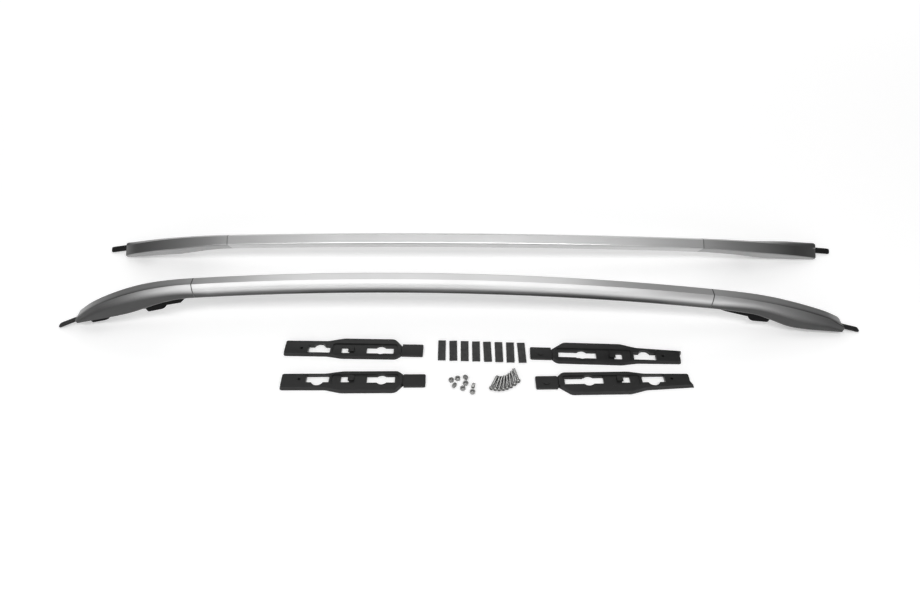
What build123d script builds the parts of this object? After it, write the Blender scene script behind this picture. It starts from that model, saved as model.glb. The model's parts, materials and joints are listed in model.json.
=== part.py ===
from build123d import *
from math import asin, atan, atan2, cos, degrees, hypot, radians, sin, tan
import os

# A pair of roof side rails with their mounting set laid out in front of them.
# Millimetres. X runs along the rails with the vehicle's front at -X, Y points away
# from the viewer, Z is up, and everything stands on Z = 0.

# Bar section, measured from the crease between its top flat and its outer side
top_width = 21.0
side_bulge = 8.5
side_drop = 27.0
under_round = 8.0
edge_round = 3.0
bar_wall = 2.2

# Arch of the bar, and where its two ends lie from the crown
arch_radius = 5195.0
front_run = 450.0
rear_run = 631.0
joint_gap = 0.5

# End caps: run from joint to tip, radius of the top line, and how far the plane of the
# base passes under the bar at the joint
front_cap_run = 274.0
rear_cap_run = 297.0
front_cap_radius = 570.0
rear_cap_radius = 1050.0
front_base_clearance = 0.4
rear_base_clearance = 23.0
front_base_reach = 13.0
rear_base_reach = 18.0
tip_draw_in = 2.0
cap_widening = 4.0
tip_height = 10.0
tip_corner = 12.0
nose_length = 45.0
nose_drop = 4.0
cap_wall = 2.5
cap_steps = 24
collar_length = 18.0
tip_block = 13.0

# Underside of a cap, as shares of its run: where it leaves the bar's underside and
# where it has met the base, then where the sides draw in
front_arch = (0.05, 0.80)
rear_arch = (0.30, 0.80)
taper_starts = 0.60
widening_ends = 0.50
base_margin = 9.0

# Line of the brackets, spigots and tabs, outboard of the crease
foot_line = -8.5

# Spigots that plug the bar's ends
spigot_in_bar = 60.0
spigot_in_cap = 75.0
spigot_width = 20.0
spigot_height = 14.0
spigot_seat = 0.2
socket_clearance = 0.3

# Brackets, with two bolt feet each
bracket_width = 18.0
bracket_thickness = 5.0
bracket_rise = 3.0
bracket_gap = 4.0
arm_start = 25.0
arm_lead = 14.0
front_arm_drop = 12.0
rear_arm_drop = 4.0
foot_length = 46.0
foot_step = 10.0
foot_width = 18.0
front_foot_drop = 15.0
rear_foot_drop = 5.0
front_tip_foot_at = 46.0
rear_tip_foot_at = 54.0
inner_foot_at = 182.0
bolt_bore = 3.3
seat_radius = 7.5

# Tabs that stick out of the tips
tab_line = -2.0
tab_width = 13.0
tab_thickness = 3.0
tab_gap = 1.0
tab_bend = 10.0
front_tab_reach = 50.0
rear_tab_reach = 42.0
tab_corner = 4.0
tab_clearance = 0.3

# Screws that join bar, spigot and bracket
joint_shank = 3.0
joint_head = 5.2
joint_head_height = 3.0
joint_length = 14.0
joint_socket = 2.0
joint_spacing = 26.0
joint_first = 18.0
arm_first = 36.0
tapped_clearance = 0.05
screw_seat = 0.1
screw_dome = 0.6
hole_clearance = 0.3

# Screws that hold a cap's posts on its bracket
cap_shank = 1.9
cap_head = 3.8
cap_head_height = 2.2
cap_length = 14.0
cap_post = 4.5
cap_posts_to_foot = (87.0, 42.0)

# Base pads: body from its narrow tip to its neck with the flared side at +Y, then a tongue
pad_front_length = 250.0
pad_rear_length = 270.0
pad_height = 8.0
pad_floor = 5.5
pad_taper = 16.0
pad_front_tip = (-16.5, 22.5)
pad_rear_tip = (-14.5, 17.5)
pad_waist = (-16.5, 23.0)
pad_front_wide = (-22.0, 31.0)
pad_rear_wide = (-22.5, 32.5)
pad_front_shoulders = (12.0, 16.0)
pad_rear_shoulders = (10.0, 26.0)
pad_neck = 12.0
pad_waist_from = 92.0
pad_waist_to = 124.0
pad_corner = 6.0
pad_waist_round = 40.0
pad_shoulder_round = 16.0
pad_ear = 5.0
pad_ear_root = 2.0
pad_channel = (-12.0, 15.0)
pad_channel_start = 103.0
pad_channel_end = 10.0
pad_tongue_length = 44.0
pad_tongue_width = 31.0
pad_tongue_offset = 1.8
pad_tongue_height = 5.0
pad_button = 7.0
pad_button_height = 1.5
window_one = (52.0, 98.5)
window_one_sides = (-11.5, 8.0)
window_one_bulge = 12.5
window_one_offset = 3.5
window_two_front = (175.0, 232.0)
window_two_rear = (176.0, 218.0)
window_two_sides = (-10.0, 8.0)
window_two_bulge = 13.0
window_two_offset = -0.5
window_bulge_from = 30.0
window_slot_length = 37.0
window_slot_half = 8.2
square_hole = 17.0
square_at = 130.5
square_offset = -2.0
clip_length = 9.0
clip_width = 13.0
clip_height = 10.0
clip_gap = 1.0
clip_hook = 3.0
dot_radius = 3.2
dot_at = 38.0
dot_depth = 5.0
pad_gauge = 0.01

# Foam strips
strip_width = 16.5
strip_length = 55.0
strip_thickness = 3.0
strip_corner = 0.8

# Bolts and nuts of the mounting set
bolt_shank = 3.0
bolt_length = 34.0
bolt_head = 4.8
bolt_head_height = 3.9
bolt_dome = 2.0
bolt_chamfer = 0.8
bolt_socket = 2.3
bolt_socket_depth = 2.0
nut_across = 10.0
nut_height = 5.2
nut_bore = 2.6
nut_chamfer = 0.5

# Layout on the floor before the set is centred: crown of each rail, turn and lean
left_rail_at = (-103.6, -2.7)
left_rail_turn = -0.43
right_rail_at = (-74.6, 169.5)
right_rail_turn = -0.2
right_rail_lean = 36.0

# Pads: end of the tongue and turn. The right rail's pads lie in the row behind
pad_places = {
    "left_front_pad": ((-70.0, -149.0), 0.4),
    "right_front_pad": ((-77.6, -71.7), -1.2),
    "left_rear_pad": ((153.0, -154.4), 181.0),
    "right_rear_pad": ((147.2, -78.5), 177.8),
}

# Strips: first and last centre of the row, and the small turn of each one
strip_row = ((-38.2, -67.3), (130.0, -74.0))
strip_turns = (0.0, 0.9, 0.4, -0.3, 0.6, 0.2, -0.5, 1.1)

# Bolts: first and last head of the fan, how far the row of heads bows towards the
# viewer, and the way the first and last tips point
bolt_heads = ((63.2, -170.5), (118.0, -152.2))
bolt_bow = 10.0
bolt_turns = (68.0, 103.0)

# Nuts: place, turn, and whether it lies on a flat face or stands on a flank
nut_places = (
    ((-17.7, -148.6), 10.0, "flat"),
    ((-13.3, -163.1), 50.0, "flank"),
    ((-4.7, -144.4), 25.0, "flat"),
    ((12.8, -142.3), -35.0, "flank"),
    ((11.5, -156.9), 5.0, "flat"),
    ((5.6, -170.0), 40.0, "flat"),
    ((24.4, -165.0), 70.0, "flank"),
    ((25.0, -179.0), 15.0, "flat"),
)

bar_depth = side_drop + under_round
spigot_bottom = -bar_depth + bar_wall + spigot_seat
arm_bottom = spigot_bottom - bracket_thickness
plate_top = bracket_rise + bracket_thickness
bracket_start = tip_block + bracket_gap
reach_past = 60.0


def smooth(value):
    """Blend from 0 to 1 with level ends."""
    held = max(0.0, min(1.0, value))
    return held * held * (3.0 - 2.0 * held)


def convex_arc(start, end):
    """Arc from start to end that leaves end straight down."""
    across = end[0] - start[0]
    down = start[1] - end[1]
    radius = (across ** 2 + down ** 2) / (2.0 * across)
    centre = (end[0] - radius, end[1])
    half = atan2(down, start[0] - centre[0]) / 2.0
    middle = (centre[0] + radius * cos(half), centre[1] + radius * sin(half))
    return ThreePointArc(start, middle, end)


def rail_section(width, bulge, drop):
    """Closed outline of the rail: outboard along x, up along y, crease at the origin."""
    bottom = -(drop + under_round)
    inner = -width
    edges = [
        CenterArc((inner + edge_round, -edge_round), edge_round, 180, -90),
        Line((inner + edge_round, 0), (0, 0)),
        convex_arc((0, 0), (bulge, -drop)),
        CenterArc((bulge - under_round, -drop), under_round, 0, -90),
        Line((bulge - under_round, bottom), (inner + edge_round, bottom)),
        CenterArc((inner + edge_round, bottom + edge_round), edge_round, 270, -90),
        Line((inner, bottom + edge_round), (inner, -edge_round)),
    ]
    return make_face(edges)


def hollow_section(width, bulge, drop):
    """Outline of a cap's hollow, open downwards well past the base."""
    inner = -width + cap_wall
    start = (-cap_wall / 2.0, -cap_wall)
    outer = bulge - cap_wall
    floor = -(drop + under_round + reach_past)
    edges = [
        Line((inner, -cap_wall), start),
        convex_arc(start, (outer, -drop)),
        Line((outer, -drop), (outer, floor)),
        Line((outer, floor), (inner, floor)),
        Line((inner, floor), (inner, -cap_wall)),
    ]
    return make_face(edges)


class RailEnd:
    """One end of a rail, seen with its tip at +X and the bar's crown at the origin."""

    def __init__(self, run, cap_run, cap_radius, base_clearance, foot_drop, tip_foot_at, arm_drop,
                 base_reach, arch, tab_reach):
        self.run = run
        self.cap_run = cap_run
        self.cap_radius = cap_radius
        self.foot_drop = foot_drop
        self.foot_ats = (tip_foot_at, inner_foot_at)
        self.tab_inside = tip_foot_at - foot_length / 2.0 - tab_gap
        self.arm_drop = arm_drop
        self.base_reach = base_reach
        self.arch = arch
        self.tab_reach = tab_reach
        self.fall = asin(run / arch_radius)
        self.joint_z = arch_radius * (cos(self.fall) - 1.0)
        self.tip_x = run + cap_run
        self.base_z = self.crease_z(self.tip_x) + nose_drop - tip_height
        self.slope = atan((self.joint_z - bar_depth - base_clearance - self.base_z) / cap_run)
        across = Vector(cos(self.fall), 0, -sin(self.fall))
        up = Vector(sin(self.fall), 0, cos(self.fall))
        self.joint = Plane((run, 0, self.joint_z), x_dir=across, z_dir=up)
        inward = Vector(-cos(self.slope), 0, sin(self.slope))
        normal = Vector(sin(self.slope), 0, cos(self.slope))
        self.foot = Plane((self.tip_x, 0, self.base_z), x_dir=inward, z_dir=normal)
        self.tab_tip = (-tab_reach, -tab_reach * tan(radians(tab_bend)))

    def crease_z(self, x):
        """Height of the cap's crease line, an arc that leaves the bar smoothly and noses down."""
        centre_x = self.run - self.cap_radius * sin(self.fall)
        centre_z = self.joint_z - self.cap_radius * cos(self.fall)
        into_nose = max(0.0, x - self.tip_x + nose_length) / nose_length
        arc_z = centre_z + (self.cap_radius ** 2 - (x - centre_x) ** 2) ** 0.5
        return arc_z - nose_drop * into_nose ** 2

    def height(self, x):
        """Height of the crease above the base plane."""
        return self.crease_z(x) - self.base_z - (self.tip_x - x) * tan(self.slope)

    def station(self, share):
        """Plane, width, bulge and drop of the section at a share of the cap's run."""
        x = self.run + share * self.cap_run
        lean = self.fall * (1.0 - share)
        plane = Plane((x, 0, self.crease_z(x)), x_dir=(0, -1, 0), z_dir=(-cos(lean), 0, sin(lean)))
        closing = smooth((share - self.arch[0]) / (self.arch[1] - self.arch[0]))
        tapering = smooth((share - taper_starts) / (1.0 - taper_starts))
        width = top_width + cap_widening * smooth(share / widening_ends)
        flare = (self.base_reach - side_bulge) * closing
        bulge = side_bulge + flare - tip_draw_in * tapering
        full_drop = self.height(x) + base_margin - under_round
        return plane, width, bulge, side_drop + (full_drop - side_drop) * closing

    def joint_box(self, along, outboard, up):
        """Box between limits in the joint's frame."""
        box = Box(along[1] - along[0], outboard[1] - outboard[0], up[1] - up[0])
        centre = (sum(along) / 2.0, -sum(outboard) / 2.0, sum(up) / 2.0)
        return self.joint * Pos(*centre) * box

    def foot_box(self, along, outboard, up):
        """Box between limits in the foot's frame."""
        box = Box(along[1] - along[0], outboard[1] - outboard[0], up[1] - up[0])
        centre = (sum(along) / 2.0, sum(outboard) / 2.0, sum(up) / 2.0)
        return self.foot * Pos(*centre) * box

    def post(self, frame, along, radius, up):
        """Cylinder on the foot line between two heights of a frame."""
        outboard = foot_line if frame is self.foot else -foot_line
        middle = (along, outboard, sum(up) / 2.0)
        return frame * Pos(*middle) * Cylinder(radius, up[1] - up[0])


front_end = RailEnd(front_run, front_cap_run, front_cap_radius, front_base_clearance, front_foot_drop,
                    front_tip_foot_at, front_arm_drop, front_base_reach, front_arch, front_tab_reach)
rear_end = RailEnd(rear_run, rear_cap_run, rear_cap_radius, rear_base_clearance, rear_foot_drop,
                   rear_tip_foot_at, rear_arm_drop, rear_base_reach, rear_arch, rear_tab_reach)

bar_screw_ats = (-joint_first, -joint_first - joint_spacing)
arm_screw_ats = (arm_first, arm_first + joint_spacing)
cap_screw_ats = [inner_foot_at - step for step in cap_posts_to_foot]


def to_front(shape):
    """Turn an end built with its tip at +X to the front of the rail."""
    return mirror(shape, about=Plane.YZ)


def bar():
    """Hollow bar between the joints, with holes for the spigots' screws."""
    outer = rail_section(top_width, side_bulge, side_drop)
    section = outer - offset(outer, amount=-bar_wall)
    front_angle = degrees(asin((front_run - joint_gap) / arch_radius))
    rear_angle = degrees(asin((rear_run - joint_gap) / arch_radius))
    upright = Plane((0, 0, 0), x_dir=(0, -1, 0), z_dir=(-1, 0, 0))
    axis = Axis((0, 0, -arch_radius), (0, 1, 0))
    start = (upright * section).face().rotate(axis, -front_angle)
    solid = revolve(start, axis=axis, revolution_arc=front_angle + rear_angle)
    under = (-bar_depth - edge_round, -bar_depth + bar_wall + edge_round)
    for at in bar_screw_ats:
        solid -= rear_end.post(rear_end.joint, at, joint_shank + hole_clearance, under)
        solid -= to_front(front_end.post(front_end.joint, at, joint_shank + hole_clearance, under))
    return solid


def cap(end):
    """Shell of one end: lofted skin, flat base, hollow, spigot socket and screw posts."""
    skin_sections = []
    for index in range(cap_steps + 1):
        plane, *sizes = end.station(index / cap_steps)
        skin_sections.append(plane * rail_section(*sizes))
    skin = loft(skin_sections)
    length = hypot(end.cap_run, end.cap_run * tan(end.slope))
    wide = (-top_width - reach_past, end.base_reach + reach_past)
    skin -= end.foot_box((-reach_past, length + reach_past), wide, (-2.0 * reach_past, 0.0))
    skin &= tip_outline(end, length)

    first = collar_length / end.cap_run
    last = 1.0 - tip_block / end.cap_run
    hollow_sections = []
    for index in range(cap_steps + 1):
        plane, *sizes = end.station(first + (last - first) * index / cap_steps)
        hollow_sections.append(plane * hollow_section(*sizes))
    shell = skin - loft(hollow_sections)

    for at in cap_screw_ats:
        rise = end.height(end.tip_x - at * cos(end.slope))
        shell += skin & end.post(end.foot, at, cap_post, (plate_top, rise))
        pilot = (plate_top - cap_wall, plate_top + cap_length - bracket_thickness)
        shell -= end.post(end.foot, at, cap_shank + tapped_clearance, pilot)

    half = spigot_width / 2.0 + socket_clearance
    top = spigot_bottom + spigot_height + socket_clearance
    socket = (-collar_length, collar_length + cap_wall)
    shell -= end.joint_box(socket, (foot_line - half, foot_line + half),
                           (spigot_bottom - socket_clearance, top))
    half_tab = tab_width / 2.0 + tab_clearance
    shell -= end.foot_box((-end.tab_inside, end.tab_inside + tab_clearance),
                          (tab_line - half_tab, tab_line + half_tab),
                          (-tab_thickness, tab_thickness + tab_clearance))
    return shell


def tip_outline(end, length):
    """Upright prism whose plan rounds the two corners of the tip."""
    inner = -top_width - cap_widening
    outer = end.base_reach - tip_draw_in
    flare = end.base_reach + reach_past
    past_joint = length + reach_past
    plan = Polygon((0.0, inner), (past_joint, inner - flare), (past_joint, outer + flare), (0.0, outer),
                   align=None)
    plan = fillet(plan.vertices().filter_by(lambda corner: corner.X < tip_corner), tip_corner)
    prism = extrude(plan, amount=4.0 * reach_past)
    return end.foot * Pos(0, 0, -2.0 * reach_past) * prism


def bracket(end):
    """Casting inside a cap: plate along the base, two bolt feet and an arm to the spigot."""
    half = bracket_width / 2.0
    wide = (foot_line - half, foot_line + half)
    plate_end = inner_foot_at + foot_length / 2.0
    solid = end.foot_box((bracket_start, plate_end), wide, (bracket_rise, plate_top))
    solid += bracket_arm(end)
    for at in end.foot_ats:
        foot = extrude(SlotOverall(foot_length, foot_width), amount=end.foot_drop + plate_top)
        solid += end.foot * Pos(at, foot_line, -end.foot_drop) * foot
    for at in end.foot_ats:
        solid -= end.post(end.foot, at, bolt_bore, (-reach_past, reach_past))
        solid -= end.post(end.foot, at, seat_radius, (plate_top, reach_past))
    for at in cap_screw_ats:
        solid -= end.post(end.foot, at, cap_shank + hole_clearance, (-reach_past, reach_past))
    for at in arm_screw_ats:
        solid -= end.post(end.joint, at, joint_shank + hole_clearance, (arm_bottom - reach_past, 0.0))
        well = (arm_bottom - reach_past, arm_bottom)
        solid -= end.post(end.joint, at, joint_head + hole_clearance, well)
    return solid


def bracket_arm(end):
    """Block that spans from the spigot's underside down to the inner bolt foot."""
    arm_face = [(arm_start, arm_bottom), (arm_start, spigot_bottom), (spigot_in_cap, spigot_bottom),
                (arm_start + arm_lead, arm_bottom - end.arm_drop)]
    near = inner_foot_at - foot_length / 2.0
    far = inner_foot_at + foot_length / 2.0
    below = foot_step - end.foot_drop
    foot_face = [(near, below), (near, plate_top), (far, plate_top), (far, below)]
    corners = [end.joint.from_local_coords((x, 0, z)) for x, z in arm_face]
    corners += [end.foot.from_local_coords((x, 0, z)) for x, z in foot_face]
    flat = [(corner.X, corner.Z) for corner in corners]
    outline = make_hull(Polyline(*flat, close=True).edges())
    side = Plane((0, -foot_line + bracket_width / 2.0, 0), x_dir=(1, 0, 0), z_dir=(0, -1, 0))
    return side * extrude(outline, amount=bracket_width)


def spigot(end):
    """Block that plugs the bar's end and reaches into the cap, tapped from below."""
    half = spigot_width / 2.0
    solid = end.joint_box((-spigot_in_bar, spigot_in_cap), (foot_line - half, foot_line + half),
                          (spigot_bottom, spigot_bottom + spigot_height))
    solid = chamfer(solid.edges().filter_by(Axis.Y), edge_round / 2.0)
    for at in bar_screw_ats + arm_screw_ats:
        depth = (spigot_bottom - edge_round, spigot_bottom + joint_length)
        solid -= end.post(end.joint, at, joint_shank + tapped_clearance, depth)
    return solid


def tab(end):
    """Flat tongue that starts under the bracket, sticks out of the tip and dips."""
    inside = end.tab_inside
    length = end.tab_reach + inside
    tip_x, tip_z = end.tab_tip
    side = Polygon((inside, 0), (inside, tab_thickness), (0, tab_thickness),
                   (tip_x, tip_z + tab_thickness), (tip_x, tip_z), (0, 0), align=None)
    strip_side = Plane((0, tab_width / 2.0, 0), x_dir=(1, 0, 0), z_dir=(0, -1, 0))
    solid = strip_side * extrude(side, amount=tab_width)
    plan = Rectangle(length, tab_width)
    plan = fillet(plan.vertices().filter_by(lambda corner: corner.X < 0), tab_corner)
    middle = (inside - end.tab_reach) / 2.0
    solid &= Pos(middle, 0, -reach_past) * extrude(plan, amount=2.0 * reach_past)
    return end.foot * Pos(0, tab_line, 0) * solid


def screw(shank, length, head, head_height, socket):
    """Round-headed screw that points up from the seat of its head at the origin."""
    solid = Pos(0, 0, length / 2.0) * Cylinder(shank, length)
    round_head = Pos(0, 0, -head_height / 2.0) * Cylinder(head, head_height)
    round_head = fillet(round_head.edges().group_by(Axis.Z)[0], head_height * screw_dome)
    recess = extrude(RegularPolygon(socket, 6), amount=head_height / 2.0)
    return solid + round_head - Pos(0, 0, -head_height) * recess


def joint_screws(end):
    """Screws from below into one spigot: two through the bar, two through the arm."""
    single = screw(joint_shank, joint_length, joint_head, joint_head_height, joint_socket)
    solids = []
    for at in bar_screw_ats:
        sag = arch_radius - (arch_radius ** 2 - at ** 2) ** 0.5
        solids.append(end.joint * Pos(at, -foot_line, -bar_depth - sag - screw_seat) * single)
    for at in arm_screw_ats:
        solids.append(end.joint * Pos(at, -foot_line, arm_bottom) * single)
    return solids


def cap_screws(end):
    """Screws from below through the bracket into a cap's posts."""
    single = screw(cap_shank, cap_length, cap_head, cap_head_height, cap_shank / 2.0)
    return [end.foot * Pos(at, foot_line, bracket_rise) * single for at in cap_screw_ats]


def rail():
    """All pieces of a left-hand rail by name, with the bar's crown at the origin."""
    pieces = {"bar": bar()}
    makers = {"cap": cap, "bracket": bracket, "spigot": spigot, "tab": tab}
    for name, make in makers.items():
        pieces["front_" + name] = to_front(make(front_end))
        pieces["rear_" + name] = make(rear_end)
    groups = {"joint_screws": joint_screws, "cap_screws": cap_screws}
    for name, make in groups.items():
        front_solids = [to_front(single) for single in make(front_end)]
        pieces[name] = Compound(front_solids + make(rear_end))
    return pieces


def pad_outline(length, tip, wide, shoulders, ear):
    """Plan of a pad's body: narrow end at x = 0, flared side at +y, where an ear may stick out."""
    starts = [length - shoulder for shoulder in shoulders]
    points = [
        (0.0, tip[0]),
        (pad_waist_from, pad_waist[0]),
        (pad_waist_to, wide[0]),
        (starts[0], wide[0]),
        (length, -pad_neck),
        (length, pad_neck),
        (starts[1], wide[1]),
        (pad_waist_to, wide[1]),
        (pad_waist_from, pad_waist[1]),
    ]
    if ear:
        points.append((-ear, tip[1]))
    points.append((0.0, tip[1] - ear * pad_ear_root))
    plan = Polygon(*points, align=None)
    bends = [(0.0, pad_corner), (pad_waist_from, pad_waist_round), (pad_waist_to, pad_waist_round)]
    bends += [(start, pad_shoulder_round) for start in starts]
    for place, rounding in bends:
        corners = plan.vertices().filter_by_position(Axis.X, place - pad_gauge, place + pad_gauge)
        plan = fillet(corners, rounding)
    return plan


def slot_between(ends, sides):
    """Rectangle between two places along a pad and two places across it."""
    middle = Pos(sum(ends) / 2.0, sum(sides) / 2.0)
    return middle * Rectangle(ends[1] - ends[0], sides[1] - sides[0])


def pad_windows(slotted):
    """Plans of the openings through a pad for the bracket's two feet and the clip."""
    first = slot_between(window_one, window_one_sides)
    first += Pos(sum(window_one) / 2.0, window_one_offset) * Circle(window_one_bulge)
    ends = window_two_rear if slotted else window_two_front
    second = slot_between(ends, window_two_sides)
    second += Pos(ends[0] + window_bulge_from, window_two_offset) * Circle(window_two_bulge)
    if slotted:
        slot_ends = (ends[1] - pad_corner, ends[1] + window_slot_length)
        second += slot_between(slot_ends, (-window_slot_half, window_slot_half))
    square = Pos(square_at, square_offset) * Rectangle(square_hole, square_hole)
    return first, second, square


def pad(slotted):
    """Moulded base pad with a channel, two windows, a square hole, a clip and a tongue.

    The rear pads are the slotted ones: longer, with an ear and a button on the tongue.
    The end of the tongue is at the origin."""
    length = pad_front_length
    outline = pad_outline(length, pad_front_tip, pad_front_wide, pad_front_shoulders, 0.0)
    if slotted:
        length = pad_rear_length
        outline = pad_outline(length, pad_rear_tip, pad_rear_wide, pad_rear_shoulders, pad_ear)
    body = extrude(outline, amount=pad_height, taper=pad_taper)
    tongue = Rectangle(pad_tongue_length, pad_tongue_width, align=(Align.MIN, Align.CENTER))
    tongue = fillet(tongue.vertices().group_by(Axis.X)[-1], pad_corner / 2.0)
    tongue = Pos(length, pad_tongue_offset) * tongue
    tongue += slot_between((length - pad_channel_end, length + pad_corner), (-pad_neck, pad_neck))
    body += extrude(tongue, amount=pad_tongue_height)

    channel_ends = (pad_channel_start, length - pad_channel_end)
    channel = fillet(slot_between(channel_ends, pad_channel).vertices(), pad_corner)
    body -= Pos(0, 0, pad_floor) * extrude(channel, amount=pad_height)
    for opening in pad_windows(slotted):
        body -= extrude(opening, amount=pad_height + pad_floor)

    dot = Pos(dot_at, 0, pad_height - dot_depth) * extrude(Circle(dot_radius), amount=pad_height)
    body -= dot
    clip_x = square_at + square_hole / 2.0 + clip_gap
    clip_base = Pos(clip_x, square_offset, 0) * Box(clip_length, clip_width, clip_height,
                                                    align=(Align.MIN, Align.CENTER, Align.MIN))
    hook = Pos(clip_x - clip_hook, square_offset, clip_height - clip_hook) * Box(
        clip_length, clip_width, clip_hook, align=(Align.MIN, Align.CENTER, Align.MIN))
    body += clip_base + hook
    if slotted:
        button = Pos(length + pad_tongue_length / 2.0, pad_tongue_offset) * Circle(pad_button)
        body += extrude(button, amount=pad_tongue_height + pad_button_height)
    return Pos(-length - pad_tongue_length, 0) * body


def strip():
    """Foam strip lying flat."""
    solid = Pos(0, 0, strip_thickness / 2.0) * Box(strip_width, strip_length, strip_thickness)
    return fillet(solid.edges().filter_by(Axis.Z), strip_corner)


def bolt():
    """Pan-headed bolt lying on the floor: under the head at the origin, tip at +X."""
    shank = Pos(0, 0, bolt_length / 2.0) * Cylinder(bolt_shank, bolt_length)
    shank = chamfer(shank.edges().group_by(Axis.Z)[-1], bolt_chamfer)
    head = Pos(0, 0, -bolt_head_height / 2.0) * Cylinder(bolt_head, bolt_head_height)
    head = fillet(head.edges().group_by(Axis.Z)[0], bolt_dome)
    recess = extrude(RegularPolygon(bolt_socket, 6), amount=bolt_socket_depth)
    upright = shank + head - Pos(0, 0, -bolt_head_height) * recess
    dip = degrees(asin((bolt_head - bolt_shank) / hypot(bolt_length, bolt_head - bolt_shank)))
    lying = Rot(0, 90 + dip, 0) * upright
    return Pos(0, 0, -lying.bounding_box().min.Z) * lying


def nut(pose):
    """Hexagon nut on a flat face, or standing on one flank."""
    outline = RegularPolygon(nut_across / 2.0, 6, major_radius=False)
    solid = extrude(outline - Circle(nut_bore), amount=nut_height)
    corner = extrude(Circle(nut_across / 3.0 ** 0.5), amount=nut_height)
    rims = corner.edges().group_by(Axis.Z)
    corner = chamfer(rims[0] + rims[-1], nut_chamfer)
    solid &= corner
    if pose == "flank":
        solid = Rot(90, 0, 0) * Rot(0, 0, 30) * solid
    return Pos(0, 0, -solid.bounding_box().min.Z) * solid


def between(first, last, share):
    """Point at a share of the way from first to last."""
    return tuple(a + (b - a) * share for a, b in zip(first, last))


def lowest(shapes):
    """Lowest height of a group of shapes."""
    return min(shape.bounding_box().min.Z for shape in shapes)


def level():
    """Pitch that brings the tips of a rail's two tabs to one height."""
    tips = []
    for end in (front_end, rear_end):
        along, up = end.tab_tip
        tips.append(end.foot.from_local_coords((along, 0, up)))
    return Rot(0, degrees(atan2(tips[1].Z - tips[0].Z, tips[1].X + tips[0].X)), 0)


def rail_layout():
    """Both rails on the floor: the left one upright, the right one leaning forwards."""
    left_turn = Rot(0, 0, left_rail_turn) * level()
    right_turn = Rot(0, 0, right_rail_turn) * Rot(right_rail_lean, 0, 0) * level()
    turned = {"left": left_turn, "right": right_turn}
    places = {"left": left_rail_at, "right": right_rail_at}
    pieces = rail()
    laid = {}
    for hand, turn in turned.items():
        own = pieces
        if hand == "right":
            own = {name: mirror(shape, about=Plane.XZ) for name, shape in pieces.items()}
        own = {name: turn * shape for name, shape in own.items()}
        where = Pos(*places[hand], -lowest(own.values()))
        for name, shape in own.items():
            laid[hand + "_" + name] = where * shape
        show_bolt_bores(hand, where * turn)
    return laid


def show_bolt_bores(hand, where):
    """Note where each bolt bore opens and the way a bolt leaves it."""
    for label, end, way in (("front", front_end, -1.0), ("rear", rear_end, 1.0)):
        for index, at in enumerate(end.foot_ats):
            opening = end.foot.from_local_coords((at, foot_line, -end.foot_drop))
            inside = end.foot.from_local_coords((at, foot_line, 0.0))
            side = 1.0 if hand == "left" else -1.0
            points = []
            for point in (opening, inside):
                local = Pos(point.X * way, point.Y * side, point.Z)
                points.append((where * local).position)
            outwards = (points[0] - points[1]).normalized()
            bores.append((f"{hand}_{label}_bolt_{index + 1}", points[0], outwards))


def set_layout():
    """The mounting set on the floor."""
    laid = {}
    for name, (place, turn) in pad_places.items():
        shape = pad("rear" in name)
        if name in ("left_front_pad", "right_rear_pad"):
            shape = mirror(shape, about=Plane.XZ)
        laid[name] = Pos(*place) * Rot(0, 0, turn) * shape
    last = len(strip_turns) - 1
    for index, turn in enumerate(strip_turns):
        place = between(*strip_row, index / last)
        laid[f"foam_strip_{index + 1}"] = Pos(*place) * Rot(0, 0, turn) * strip()
    bolts = []
    count = len(nut_places)
    for index in range(count):
        share = index / (count - 1)
        x, y = between(*bolt_heads, share)
        bow = bolt_bow * 4.0 * share * (1.0 - share)
        turn = bolt_turns[0] + (bolt_turns[1] - bolt_turns[0]) * share
        bolts.append(Pos(x, y - bow) * Rot(0, 0, turn) * bolt())
    laid["mounting_bolts"] = Compound(bolts)
    nuts = [Pos(*place) * Rot(0, 0, turn) * nut(pose) for place, turn, pose in nut_places]
    laid["mounting_nuts"] = Compound(nuts)
    return laid


bores = []
nodes = rail_layout()
nodes.update(set_layout())

# Centre the set: the origin is the middle of its footprint, on the floor
boxes = [shape.bounding_box() for shape in nodes.values()]
middle_x = (min(box.min.X for box in boxes) + max(box.max.X for box in boxes)) / 2.0
middle_y = (min(box.min.Y for box in boxes) + max(box.max.Y for box in boxes)) / 2.0
centring = Pos(-middle_x, -middle_y)

os.makedirs("parts", exist_ok=True)
for name, shape in nodes.items():
    export_step(centring * shape, f"parts/{name}.step")

print("shift", round(-middle_x, 3), round(-middle_y, 3))
for name, point, axis in bores:
    moved = (centring * Pos(point.X, point.Y, point.Z)).position
    print(name, [round(value, 3) for value in moved], [round(value, 5) for value in axis])
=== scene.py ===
import bpy
import bmesh
import json
from math import cos, floor, pi, radians, sin
from mathutils import Matrix, Vector, noise


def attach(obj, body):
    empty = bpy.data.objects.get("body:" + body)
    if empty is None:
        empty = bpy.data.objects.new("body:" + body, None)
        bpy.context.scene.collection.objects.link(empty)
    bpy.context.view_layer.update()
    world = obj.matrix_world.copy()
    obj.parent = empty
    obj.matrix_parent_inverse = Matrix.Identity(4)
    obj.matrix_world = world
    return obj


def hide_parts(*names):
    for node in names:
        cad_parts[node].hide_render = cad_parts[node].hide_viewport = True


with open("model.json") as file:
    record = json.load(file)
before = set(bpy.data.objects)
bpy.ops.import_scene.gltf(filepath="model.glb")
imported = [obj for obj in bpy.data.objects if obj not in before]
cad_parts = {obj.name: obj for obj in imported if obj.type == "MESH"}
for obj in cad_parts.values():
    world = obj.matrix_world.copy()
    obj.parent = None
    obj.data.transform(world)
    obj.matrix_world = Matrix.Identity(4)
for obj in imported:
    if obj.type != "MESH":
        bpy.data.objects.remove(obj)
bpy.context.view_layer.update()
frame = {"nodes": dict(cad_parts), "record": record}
scene = bpy.context.scene
nodes = frame["nodes"]
up = Vector((0.0, 0.0, 1.0))

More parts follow.
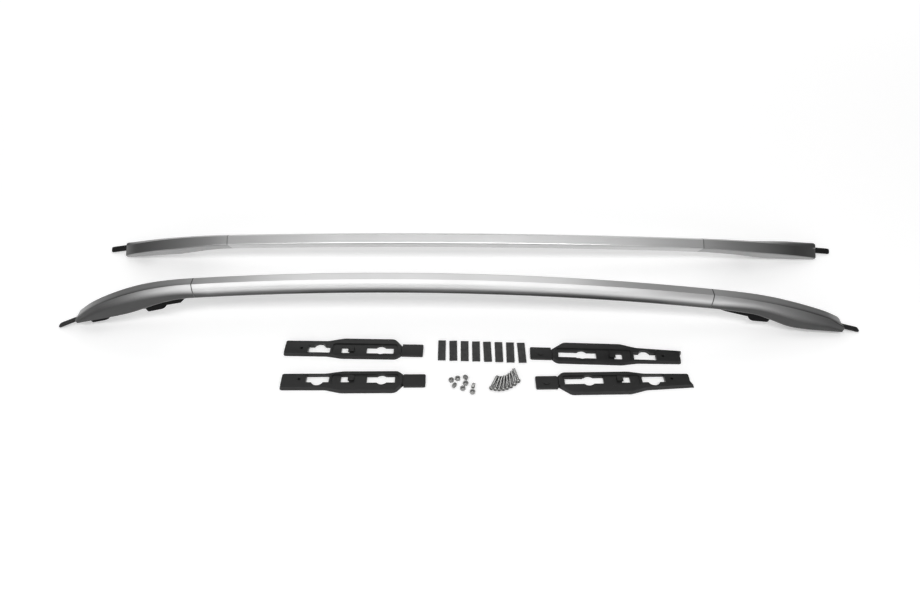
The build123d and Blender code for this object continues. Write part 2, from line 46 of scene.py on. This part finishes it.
# Camera of the photograph, in metres, degrees and pixels
camera_at = Vector((-0.0097, -1.1037, 1.131))
camera_pitch = 45.0
camera_near = 0.01
focal_pixels = 712.0
image_width = 920.0
sensor_width = 36.0

# Lamps: name, place, aim, length and height in metres, power in watts
lamps = (
    ("key", (0.0, -1.33, 1.87), (0.0, 0.0, 0.08), (2.4, 0.4), 30.0),
    ("overhead", (0.0, 0.2, 2.0), (0.0, 0.2, 0.0), (3.0, 1.4), 7.0),
    ("front", (-0.6, -2.8, 0.85), (-0.3, 0.0, 0.10), (4.0, 1.3), 26.0),
    ("back", (-0.22, 2.2, 2.1), (-0.1, 0.0, 0.10), (2.7, 1.3), 11.3),
)
room_strength = 0.27

# Floor, and the glow that the camera and reflections see, which grows outwards from its middle
floor_size = 9.0
floor_at = (0.0, 1.0, -0.0004)
floor_shade = 0.9
floor_rough = 0.9
glow_middle = (0.0, -1.9, 0.0)
glow_reach = 3.2
glow_inner = 0.07
glow_outer = 0.60

# Mounting bolts
bolt_radius = 0.0030
bolt_root = 0.0025
bolt_pitch = 0.0010
bolt_length = 0.0340
bolt_point = 0.0008
bolt_tip_share = 0.85
bolt_head_radius = 0.0048
bolt_head_height = 0.0039
bolt_head_flat = 0.0026
bolt_head_rim = 0.0012
bolt_head_chamfer = 0.0002
bolt_dome_steps = 6
bolt_socket = 0.0021
bolt_socket_depth = 0.0020
bolt_socket_edge = 0.0001
bolt_socket_flare = 1.08
bolt_pit_share = 0.3
bolt_pit_depth = 1.1

# Mounting nuts; one that is lower than a share of its width lies flat
nut_flats = 0.0100
nut_height = 0.0052
nut_bore = 0.0026
nut_thread_depth = 0.0004
nut_chamfer = 0.0006
nut_chamfer_steps = (0.0, 0.25, 0.5, 0.75, 1.0)
nut_corner_share = 0.985
nut_corner_slope = 1.7
nut_lying_share = 0.75

# Fineness of the turned pieces, of the search for their way and of the grid that tells solids apart
ring_steps = 36
rows_per_turn = 6
turn_steps = 180
pair_rounds = 3
grid_steps = 1e6

# Angle in degrees above which an edge of a new piece stays sharp
sharp_angle = 38.0

# Foam strips: count, rounded edges, cuts along and across, and unevenness
strip_count = 8
strip_round = 0.0007
strip_round_steps = 3
strip_round_profile = 0.6
strip_cuts = (22, 7)
strip_lift = 0.00025
strip_top_waves = 90.0
strip_side_waves = 140.0

# Rounding of the black pieces' edges
edge_rounds = {"pad": 0.0016, "bracket": 0.0008, "tab": 0.0005}
edge_steps = 3
edge_angle = 32.0
edge_weld = 0.00001

# Range of noise values that a finish spreads over
cloud_range = (0.3, 0.7)

# Silver: the slopes between which its painted shade on what faces forwards or down gives way, and the
# stretch along the rails over which the caps get darker painted shade toward the tips
silver_metal = 0.9
silver_cloud = 9.0
silver_lift = 1.07
silver_rough_spread = 0.01
drawn_lines = (6.0, 300.0, 300.0)
sprayed_grain = (300.0, 300.0, 300.0)
painted_shade_slopes = (0.05, 0.31)
back_slopes = (0.1, 0.4)
tip_shade_steepening = 0.34
caps_from = 0.53
caps_to = 0.78

# Shadow line at the joints: its middle past the bar's end, its half width, and how far an end faces along
seam_middle = 0.00025
seam_dark = 0.0008
seam_edge = 0.0013
end_facing = 0.9

# Painted shade stripe beside the outer crease of the upright rail's caps, and the slopes between which a
# face is flat
crease_run = (0.0073, 1.0, 0.0)
crease_at = -0.0413
crease_width = 0.010
crease_painted_shade = 0.025
flat_from = -0.3
flat_to = -0.1

# Black mouldings
moulding_cloud = 35.0
moulding_lift = 1.7
moulding_rough_spread = 0.06
grain_depth = 0.00012
grain_strength = 0.5

# Foam
foam_cells = 1400.0
foam_cloud = 120.0
foam_dark = (0.022, 0.022, 0.022)
foam_light = (0.042, 0.042, 0.042)
foam_rough = 0.9
foam_sheen = 0.15
foam_cell_depth = 0.0003
foam_cell_strength = 0.6

# Plated steel: how far its hollows look for open air, and the painted shade that darkens them
zinc_cloud = 420.0
zinc_tint = 0.98
zinc_rough_spread = 0.06
hollow_reach = 0.004
hollow_shade = 0.07


def node_tree(name):
    """New material with a Principled shader, its node tree and the shader."""
    material = bpy.data.materials.new(name)
    material.use_nodes = True
    tree = material.node_tree
    return material, tree, tree.nodes["Principled BSDF"]


def object_coordinates(tree, stretch=(1.0, 1.0, 1.0)):
    """Object coordinates in metres, stretched along the axes."""
    source = tree.nodes.new("ShaderNodeTexCoord")
    mapping = tree.nodes.new("ShaderNodeMapping")
    mapping.inputs["Scale"].default_value = stretch
    tree.links.new(source.outputs["Object"], mapping.inputs["Vector"])
    return mapping.outputs["Vector"]


def noise_texture(tree, vector, scale, detail=3.0, roughness=0.55):
    """Noise value over a vector."""
    texture = tree.nodes.new("ShaderNodeTexNoise")
    texture.inputs["Scale"].default_value = scale
    texture.inputs["Detail"].default_value = detail
    texture.inputs["Roughness"].default_value = roughness
    tree.links.new(vector, texture.inputs["Vector"])
    return texture.outputs["Fac"]


def calculate(tree, operation, first, second=None):
    """Math on a value and, where there is one, a second value."""
    node = tree.nodes.new("ShaderNodeMath")
    node.operation = operation
    tree.links.new(first, node.inputs[0])
    if second is not None:
        tree.links.new(second, node.inputs[1])
    return node.outputs["Value"]


def map_range(tree, value, start, end, low=0.0, high=1.0, smooth=False):
    """Map a value from one range of numbers to another."""
    mapped = tree.nodes.new("ShaderNodeMapRange")
    if smooth:
        mapped.interpolation_type = "SMOOTHSTEP"
    mapped.inputs["From Min"].default_value = start
    mapped.inputs["From Max"].default_value = end
    mapped.inputs["To Min"].default_value = low
    mapped.inputs["To Max"].default_value = high
    tree.links.new(value, mapped.inputs["Value"])
    return mapped.outputs["Result"]


def spread(tree, cloud, middle, reach):
    """Numbers around a middle, by a noise value."""
    return map_range(tree, cloud, *cloud_range, middle - reach, middle + reach)


def component(tree, vector, axis):
    """One component of a vector."""
    split = tree.nodes.new("ShaderNodeSeparateXYZ")
    tree.links.new(vector, split.inputs["Vector"])
    return split.outputs[axis]


def surface_normal(tree):
    """Way that the surface faces in the room."""
    return tree.nodes.new("ShaderNodeNewGeometry").outputs["Normal"]


def distance_along(tree, way, start):
    """How far a place lies past a start along a way."""
    reach = tree.nodes.new("ShaderNodeVectorMath")
    reach.operation = "DOT_PRODUCT"
    reach.inputs[1].default_value = way
    tree.links.new(object_coordinates(tree), reach.inputs[0])
    past = tree.nodes.new("ShaderNodeMath")
    past.operation = "SUBTRACT"
    past.inputs[1].default_value = start
    tree.links.new(reach.outputs["Value"], past.inputs[0])
    return past.outputs["Value"]


def ramp(tree, cloud, dark, light):
    """Blend between two colours by a noise value."""
    mapped = tree.nodes.new("ShaderNodeValToRGB")
    for element, place, shade in zip(mapped.color_ramp.elements, cloud_range, (dark, light)):
        element.position = place
        element.color = (*shade, 1.0)
    tree.links.new(cloud, mapped.inputs["Fac"])
    return mapped.outputs["Color"]


def blend(tree, factor, under, over):
    """Blend two colours by a factor."""
    mix = tree.nodes.new("ShaderNodeMix")
    mix.data_type = "RGBA"
    tree.links.new(factor, mix.inputs["Factor"])
    tree.links.new(under, mix.inputs["A"])
    tree.links.new(over, mix.inputs["B"])
    return mix.outputs["Result"]


def bump(tree, shader, height, distance, strength):
    """Drive the shader's normal with a height."""
    node = tree.nodes.new("ShaderNodeBump")
    node.inputs["Distance"].default_value = distance
    node.inputs["Strength"].default_value = strength
    tree.links.new(height, node.inputs["Height"])
    tree.links.new(node.outputs["Normal"], shader.inputs["Normal"])


def grey_cloud(tree, cloud, shade):
    """Faintly clouded grey."""
    light = shade * silver_lift
    return ramp(tree, cloud, (shade, shade, shade), (light, light, light))


def tip_shade_ramp(tree, high):
    """Rise from 0 where the caps start to a value at the rails' tips; it sets the painted shade toward the
    tips.
    """
    sideways = component(tree, object_coordinates(tree), "X")
    return map_range(tree, calculate(tree, "ABSOLUTE", sideways), caps_from, caps_to, 0.0, high)


def off_painted_shade(tree):
    """Painted shade mask: 0 on what faces forwards or down, which gets painted shade, 1 on what faces up or
    back; the slopes grow toward the tips.
    """
    slope = component(tree, surface_normal(tree), "Z")
    eased = calculate(tree, "SUBTRACT", slope, tip_shade_ramp(tree, tip_shade_steepening))
    above = map_range(tree, eased, *painted_shade_slopes, smooth=True)
    behind = map_range(tree, component(tree, surface_normal(tree), "Y"), *back_slopes)
    return calculate(tree, "MAXIMUM", above, behind)


def crease_painted_shade_mask(tree):
    """Painted shade stripe: 1 beside the outer crease on the flat of the upright rail's tips, 0 away from
    it.
    """
    near = map_range(tree, distance_along(tree, crease_run, crease_at), crease_width, 0.0, smooth=True)
    flat = map_range(tree, component(tree, surface_normal(tree), "Y"), flat_from, flat_to)
    stripe = calculate(tree, "MULTIPLY", near, flat)
    return calculate(tree, "MULTIPLY", stripe, tip_shade_ramp(tree, 1.0))


def off_seam(tree, bar, way):
    """0 on the thin shadow line where one end of a bar meets its cap, 1 elsewhere."""
    faces = [face for face in bar.data.polygons if face.normal.x * way > end_facing]
    end = max(faces, key=lambda face: face.center.x * way)
    past = distance_along(tree, end.normal, end.center.dot(end.normal) + seam_middle)
    return map_range(tree, calculate(tree, "ABSOLUTE", past), seam_dark, seam_edge)


def silver(name, hand, under, over, tip, seam, rough, stretch):
    """Satin silver of one rail: faint lines, painted shade darkening the tips and what faces forwards or
    down.
    """
    material, tree, shader = node_tree(name)
    bar = nodes[hand + "_bar"]
    lines = noise_texture(tree, object_coordinates(tree, stretch), 1.0, detail=2.0)
    cloud = noise_texture(tree, object_coordinates(tree), silver_cloud, detail=2.0)
    # Painted shade: darker toward the tips, and darker still on what faces forwards or down
    colour = blend(tree, tip_shade_ramp(tree, 1.0), grey_cloud(tree, cloud, over), grey_cloud(tree, cloud, tip))
    colour = blend(tree, off_painted_shade(tree), grey_cloud(tree, cloud, under), colour)
    # Painted shade stripe beside the outer crease near the tips of the upright rail
    if hand == "left":
        colour = blend(tree, crease_painted_shade_mask(tree), colour, grey_cloud(tree, cloud, crease_painted_shade))
    clear = calculate(tree, "MULTIPLY", off_seam(tree, bar, -1.0), off_seam(tree, bar, 1.0))
    colour = blend(tree, clear, grey_cloud(tree, cloud, seam), colour)
    tree.links.new(colour, shader.inputs["Base Color"])
    tree.links.new(spread(tree, lines, rough, silver_rough_spread), shader.inputs["Roughness"])
    shader.inputs["Metallic"].default_value = silver_metal
    return material


def black_moulding(name, shade, grain_scale, rough, gloss):
    """Black moulded plastic or coated metal with a fine grain."""
    material, tree, shader = node_tree(name)
    grain = noise_texture(tree, object_coordinates(tree), grain_scale, detail=4.0, roughness=0.65)
    cloud = noise_texture(tree, object_coordinates(tree), moulding_cloud)
    light = tuple(moulding_lift * value for value in shade)
    shader.inputs["Specular IOR Level"].default_value = gloss
    tree.links.new(ramp(tree, cloud, shade, light), shader.inputs["Base Color"])
    tree.links.new(spread(tree, cloud, rough, moulding_rough_spread), shader.inputs["Roughness"])
    bump(tree, shader, grain, grain_depth, grain_strength)
    return material


def foam(name):
    """Charcoal closed-cell foam with open pores on its cut faces."""
    material, tree, shader = node_tree(name)
    cells = tree.nodes.new("ShaderNodeTexVoronoi")
    cells.inputs["Scale"].default_value = foam_cells
    tree.links.new(object_coordinates(tree), cells.inputs["Vector"])
    cloud = noise_texture(tree, object_coordinates(tree), foam_cloud, detail=4.0)
    tree.links.new(ramp(tree, cloud, foam_dark, foam_light), shader.inputs["Base Color"])
    shader.inputs["Roughness"].default_value = foam_rough
    shader.inputs["Sheen Weight"].default_value = foam_sheen
    bump(tree, shader, cells.outputs["Distance"], foam_cell_depth, foam_cell_strength)
    return material


def zinc(name, dark, light, rough):
    """Plated steel, a little cloudy, with painted shade in its hollows and threads."""
    material, tree, shader = node_tree(name)
    cloud = noise_texture(tree, object_coordinates(tree), zinc_cloud)
    # Painted shade in the hollows and threads, where ambient occlusion finds little open air
    open_air = tree.nodes.new("ShaderNodeAmbientOcclusion")
    open_air.inputs["Distance"].default_value = hollow_reach
    hollow_painted_shade = grey_cloud(tree, cloud, hollow_shade)
    plated = ramp(tree, cloud, (dark, dark, dark * zinc_tint), (light, light, light * zinc_tint))
    tree.links.new(blend(tree, open_air.outputs["AO"], hollow_painted_shade, plated), shader.inputs["Base Color"])
    tree.links.new(spread(tree, cloud, rough, zinc_rough_spread), shader.inputs["Roughness"])
    shader.inputs["Metallic"].default_value = 1.0
    return material


# Silver colours: under is the painted shade on what faces forwards or down, tip the painted shade at the
# tips, seam the painted shadow line at the joints
finishes = {
    "bar_aluminium": silver("bar_aluminium", "left", under=0.075, over=0.62, tip=0.22, seam=0.12,
                            rough=0.30, stretch=drawn_lines),
    "cap_paint": silver("cap_paint", "left", under=0.075, over=0.60, tip=0.22, seam=0.12,
                        rough=0.32, stretch=sprayed_grain),
    "bracket_black": black_moulding("bracket_black", shade=(0.0035, 0.0035, 0.0038), grain_scale=900.0,
                                    rough=0.50, gloss=0.06),
    "spigot_aluminium": zinc("spigot_aluminium", dark=0.50, light=0.58, rough=0.35),
    "tab_black": black_moulding("tab_black", shade=(0.007, 0.007, 0.007), grain_scale=1500.0,
                                rough=0.48, gloss=0.15),
    "screw_steel": zinc("screw_steel", dark=0.42, light=0.55, rough=0.30),
    "pad_black": black_moulding("pad_black", shade=(0.008, 0.008, 0.008), grain_scale=1100.0,
                                rough=0.38, gloss=0.40),
    "strip_foam": foam("strip_foam"),
    "bolt_zinc": zinc("bolt_zinc", dark=0.24, light=0.38, rough=0.36),
}
# Silver for the leaning rail, with other amounts of painted shade
leaning_shade_finishes = {
    "bar_aluminium": silver("leaning_bar_aluminium", "right", under=0.46, over=0.62, tip=0.22, seam=0.28,
                            rough=0.30, stretch=drawn_lines),
    "cap_paint": silver("leaning_cap_paint", "right", under=0.28, over=0.56, tip=0.12, seam=0.28,
                        rough=0.32, stretch=sprayed_grain),
}


def dress_nodes():
    """Give every CAD node the finish of its slot; the leaning rail gets its own silver with other amounts of
    painted shade.
    """
    for part in frame["record"]["subparts"]:
        slot = part["material_slot"]
        finish = finishes[slot]
        if part["node"].startswith("right_"):
            finish = leaning_shade_finishes.get(slot, finish)
        mesh = nodes[part["node"]].data
        mesh.materials.clear()
        mesh.materials.append(finish)


def islands(obj):
    """Vertices of each separate solid of a node, as lists of points."""
    mesh = obj.data
    parent = {}

    def find(key):
        while parent[key] != key:
            parent[key] = parent[parent[key]]
            key = parent[key]
        return key

    keys = [tuple(round(value * grid_steps) for value in vertex.co) for vertex in mesh.vertices]
    for key in keys:
        parent[key] = key
    for polygon in mesh.polygons:
        first = find(keys[polygon.vertices[0]])
        for index in polygon.vertices[1:]:
            parent[find(keys[index])] = first
    groups = {}
    for key in parent:
        groups.setdefault(find(key), []).append(Vector(key) / grid_steps)
    return sorted(groups.values(), key=lambda points: sum(point.x for point in points) / len(points))


def extent(points, axis):
    """Lowest and highest place of points along an axis."""
    along = [point.dot(axis) for point in points]
    return min(along), max(along)


def size_along(points, axis):
    """How far points reach along an axis."""
    low, high = extent(points, axis)
    return high - low


def frame_of(points, axis, side):
    """Matrix whose z is an axis and whose x is near a side, at the middle of points."""
    x = (side - axis * side.dot(axis)).normalized()
    y = axis.cross(x)
    centre = Vector((0.0, 0.0, 0.0))
    for way in (x, y, axis):
        centre += way * (sum(extent(points, way)) / 2.0)
    matrix = Matrix((x, y, axis)).transposed().to_4x4()
    matrix.translation = centre
    return matrix


def radial(point, points, axis):
    """Offset of a point from the axis through the middle of points."""
    centre = frame_of(points, axis, axis.orthogonal()).translation
    offset = point - centre
    return offset - axis * offset.dot(axis)


def thin_direction(points):
    """Level direction in which points reach least."""
    turns = [pi * step / turn_steps for step in range(turn_steps)]
    ways = [Vector((cos(turn), sin(turn), 0.0)) for turn in turns]
    return min(ways, key=lambda way: size_along(points, way))


def furthest_pair(points):
    """Two points that lie furthest apart on a long piece."""
    start = points[0]
    for _ in range(pair_rounds):
        end = max(points, key=lambda point: (point - start).length)
        start, other = end, start
    return start, other


def shank_way(points):
    """Axis of a bolt, from its head to the end of its shank."""
    start, end = furthest_pair(points)
    rough_axis = (end - start).normalized()
    middle = sum(extent(points, rough_axis)) / 2.0
    halves = ([], [])
    for point in points:
        halves[point.dot(rough_axis) >= middle].append(point)
    first, second = [sum(half, Vector((0.0, 0.0, 0.0))) / len(half) for half in halves]
    axis = (second - first).normalized()
    side = axis.orthogonal().normalized()
    if size_along(halves[1], side) > size_along(halves[0], side):
        axis = -axis
    return axis


def ring(radius, height):
    """One ring whose radius may depend on the angle."""
    points = []
    for index in range(ring_steps):
        angle = 2.0 * pi * index / ring_steps
        reach = radius(angle) if callable(radius) else radius
        points.append(Vector((reach * cos(angle), reach * sin(angle), height)))
    return points


def join_rings(bm, lower, upper):
    """Faces between two rings."""
    for index in range(len(lower)):
        after = (index + 1) % len(lower)
        bm.faces.new((lower[index], lower[after], upper[after], upper[index]))


def ring_mesh(bm, rows, matrix, capped):
    """Skin rows of points, each a ring of equal length; cap the ends or join the last ring to the first."""
    rings = []
    for row in rows:
        rings.append([bm.verts.new(matrix @ point) for point in row])
    for lower, upper in zip(rings, rings[1:]):
        join_rings(bm, lower, upper)
    if capped:
        bm.faces.new(list(reversed(rings[0])))
        bm.faces.new(rings[-1])
    else:
        join_rings(bm, rings[-1], rings[0])


def thread(crest, root, height):
    """Radius at an angle on a thread that climbs one pitch per turn."""
    def radius(angle):
        phase = height / bolt_pitch - angle / (2.0 * pi)
        phase -= floor(phase)
        return root + (crest - root) * (1.0 - abs(2.0 * phase - 1.0))
    return radius


def hexagon(half):
    """Radius of a hexagon at an angle, from half its width across flats."""
    def radius(angle):
        within = (angle + pi / 6.0) % (pi / 3.0) - pi / 6.0
        return half / cos(within)
    return radius


def chamfered(outline, reach):
    """Radius of an outline at an angle, held within a reach."""
    def radius(angle):
        return min(outline(angle), reach)
    return radius


def bolt_rows():
    """Rings of a threaded bolt: socket, head and shank, with its tip at +z and its seat at z = 0."""
    low = -bolt_head_height
    rows = [
        ring(bolt_socket * bolt_pit_share, low + bolt_socket_depth * bolt_pit_depth),
        ring(hexagon(bolt_socket), low + bolt_socket_depth),
        ring(hexagon(bolt_socket), low + bolt_socket_edge),
        ring(hexagon(bolt_socket * bolt_socket_flare), low),
        ring(bolt_head_flat, low),
    ]
    for step in range(1, bolt_dome_steps + 1):
        angle = pi / 2.0 * step / bolt_dome_steps
        reach = bolt_head_flat + (bolt_head_radius - bolt_head_flat) * sin(angle)
        rise = (bolt_head_height - bolt_head_rim) * (1.0 - cos(angle))
        rows.append(ring(reach, low + rise))
    rows.append(ring(bolt_head_radius, -bolt_head_chamfer))
    rows.append(ring(bolt_head_radius - bolt_head_chamfer, 0.0))
    rows.append(ring(bolt_radius, 0.0))
    count = int(bolt_length / bolt_pitch * rows_per_turn)
    for step in range(1, count):
        height = bolt_length * step / count
        narrowing = min(1.0, (bolt_length - height) / bolt_point)
        crest = bolt_root + (bolt_radius - bolt_root) * narrowing
        rows.append(ring(thread(crest, bolt_root, height), height))
    rows.append(ring(bolt_root * bolt_tip_share, bolt_length))
    return rows


def nut_rows():
    """Rings of a hexagon nut: outside with chamfered corners, then the threaded bore."""
    half = nut_flats / 2.0
    top = nut_height / 2.0
    crest = nut_bore + nut_thread_depth
    heights = [nut_chamfer * share for share in nut_chamfer_steps]
    heights += [nut_height - nut_chamfer * share for share in reversed(nut_chamfer_steps)]
    rows = []
    for height in heights:
        inset = min(height, nut_height - height)
        reach = half * nut_corner_share + inset * nut_corner_slope
        rows.append(ring(chamfered(hexagon(half), reach), height - top))
    rows.append(ring(crest, top))
    count = int(nut_height / bolt_pitch * rows_per_turn)
    for step in range(1, count):
        height = top - nut_height * step / count
        rows.append(ring(thread(crest, nut_bore, height + nut_height), height))
    rows.append(ring(crest, -top))
    return rows


def finish_piece(name, bm, slot, replaced):
    """Turn a bmesh into a piece that rides with the set in place of a CAD node."""
    bmesh.ops.recalc_face_normals(bm, faces=bm.faces)
    mesh = bpy.data.meshes.new(name)
    bm.to_mesh(mesh)
    bm.free()
    mesh.materials.append(finishes[slot])
    mesh.shade_smooth()
    mesh.set_sharp_from_angle(angle=radians(sharp_angle))
    piece = bpy.data.objects.new(name, mesh)
    scene.collection.objects.link(piece)
    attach(piece, "root")
    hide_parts(replaced)
    return piece


def threaded_bolts():
    """Threaded bolts where the plain ones lie."""
    bm = bmesh.new()
    rows = bolt_rows()
    for points in islands(nodes["mounting_bolts"]):
        axis = shank_way(points)
        matrix = frame_of(points, axis, up)
        tip = extent(points, axis)[1]
        matrix.translation += axis * (tip - bolt_length - matrix.translation.dot(axis))
        ring_mesh(bm, rows, matrix, capped=True)
    finish_piece("threaded_bolts", bm, "bolt_zinc", "mounting_bolts")


def threaded_nuts():
    """Threaded nuts where the plain ones lie."""
    bm = bmesh.new()
    rows = nut_rows()
    for points in islands(nodes["mounting_nuts"]):
        axis = up
        if size_along(points, up) >= nut_flats * nut_lying_share:
            axis = thin_direction(points)
        corner = max(points, key=lambda point: radial(point, points, axis).length)
        matrix = frame_of(points, axis, radial(corner, points, axis))
        matrix = matrix @ Matrix.Rotation(pi / 6.0, 4, "Z")
        ring_mesh(bm, rows, matrix, capped=False)
    finish_piece("threaded_nuts", bm, "bolt_zinc", "mounting_nuts")


def cut_across(bm, axis, size, count):
    """Cut a block into a number of equal slices along an axis."""
    normal = Vector((0.0, 0.0, 0.0))
    normal[axis] = 1.0
    for step in range(1, count):
        place = normal * (size * (step / count - 0.5))
        geometry = bm.verts[:] + bm.edges[:] + bm.faces[:]
        bmesh.ops.bisect_plane(bm, geom=geometry, plane_co=place, plane_no=normal)


def foam_strip(name):
    """A cut strip of foam: rounded edges, an uneven top and sides that draw in a little."""
    points = islands(nodes[name])[0]
    across = thin_direction(points)
    along = up.cross(across)
    matrix = frame_of(points, up, along)
    length = size_along(points, along)
    width = size_along(points, across)
    height = extent(points, up)[1]
    bm = bmesh.new()
    bmesh.ops.create_cube(bm, size=1.0, matrix=Matrix.Diagonal((length, width, height, 1.0)))
    bmesh.ops.bevel(bm, geom=bm.edges[:], offset=strip_round, segments=strip_round_steps,
                    profile=strip_round_profile, affect="EDGES")
    for axis, size in enumerate((length, width)):
        cut_across(bm, axis, size, strip_cuts[axis])
    for vertex in bm.verts:
        world = matrix @ vertex.co
        if vertex.co.z > 0.0:
            vertex.co.z -= strip_lift * (0.5 + 0.5 * noise.noise(world * strip_top_waves))
        drawn_in = strip_lift * (1.0 + noise.noise(world * strip_side_waves))
        vertex.co.x -= vertex.co.x / length * drawn_in
        vertex.co.y -= vertex.co.y / width * drawn_in
    bmesh.ops.transform(bm, matrix=matrix, verts=bm.verts)
    piece = finish_piece(name + "_cut", bm, "strip_foam", name)


def soften(name, width):
    """Round the edges of a CAD node a little."""
    obj = nodes[name]
    weld = obj.modifiers.new("weld", "WELD")
    weld.merge_threshold = edge_weld
    edge = obj.modifiers.new("edge", "BEVEL")
    edge.width = width
    edge.segments = edge_steps
    edge.limit_method = "ANGLE"
    edge.angle_limit = radians(edge_angle)
    edge.harden_normals = True


def pale_floor():
    """Plain pale floor whose glow shows to the camera and in reflections, and lights nothing."""
    bpy.ops.mesh.primitive_plane_add(size=floor_size, location=floor_at)
    ground = bpy.context.object
    ground.name = "floor"
    material, tree, shader = node_tree("floor")
    shader.inputs["Base Color"].default_value = (floor_shade, floor_shade, floor_shade, 1.0)
    shader.inputs["Roughness"].default_value = floor_rough
    shader.inputs["Specular IOR Level"].default_value = 0.0
    path = tree.nodes.new("ShaderNodeLightPath")
    seen = path.outputs["Is Camera Ray"]
    for other in ("Is Glossy Ray", "Is Transmission Ray"):
        seen = calculate(tree, "MAXIMUM", seen, path.outputs[other])
    outwards = tree.nodes.new("ShaderNodeVectorMath")
    outwards.operation = "DISTANCE"
    outwards.inputs[1].default_value = glow_middle
    tree.links.new(object_coordinates(tree), outwards.inputs[0])
    glow = map_range(tree, outwards.outputs["Value"], 0.0, glow_reach, glow_inner, glow_outer)
    shader.inputs["Emission Color"].default_value = (1.0, 1.0, 1.0, 1.0)
    tree.links.new(calculate(tree, "MULTIPLY", seen, glow), shader.inputs["Emission Strength"])
    ground.data.materials.append(material)


def studio_light():
    """Soft studio lamps in a grey room."""
    world = bpy.data.worlds.new("room")
    scene.world = world
    world.use_nodes = True
    sky = world.node_tree.nodes["Background"]
    sky.inputs["Color"].default_value = (1.0, 1.0, 1.0, 1.0)
    sky.inputs["Strength"].default_value = room_strength
    for name, place, aim, size, power in lamps:
        lamp = bpy.data.lights.new(name, "AREA")
        lamp.shape = "RECTANGLE"
        lamp.size, lamp.size_y = size
        lamp.energy = power
        holder = bpy.data.objects.new(name, lamp)
        holder.location = place
        way = Vector(aim) - Vector(place)
        holder.rotation_euler = way.to_track_quat("-Z", "Y").to_euler()
        scene.collection.objects.link(holder)


def photograph_camera():
    """Camera at the photograph's place, pitch and field of view."""
    data = bpy.data.cameras.new("camera")
    data.sensor_fit = "HORIZONTAL"
    data.sensor_width = sensor_width
    data.lens = sensor_width * focal_pixels / image_width
    data.clip_start = camera_near
    camera = bpy.data.objects.new("camera", data)
    camera.location = camera_at
    camera.rotation_euler = (radians(90.0 - camera_pitch), 0.0, 0.0)
    scene.collection.objects.link(camera)
    scene.camera = camera


scene.view_settings.view_transform = "Standard"
dress_nodes()
threaded_bolts()
threaded_nuts()
for number in range(1, strip_count + 1):
    foam_strip(f"foam_strip_{number}")
for hand in ("left", "right"):
    for end in ("front", "rear"):
        for kind, width in edge_rounds.items():
            soften(f"{hand}_{end}_{kind}", width)
pale_floor()
studio_light()
photograph_camera()
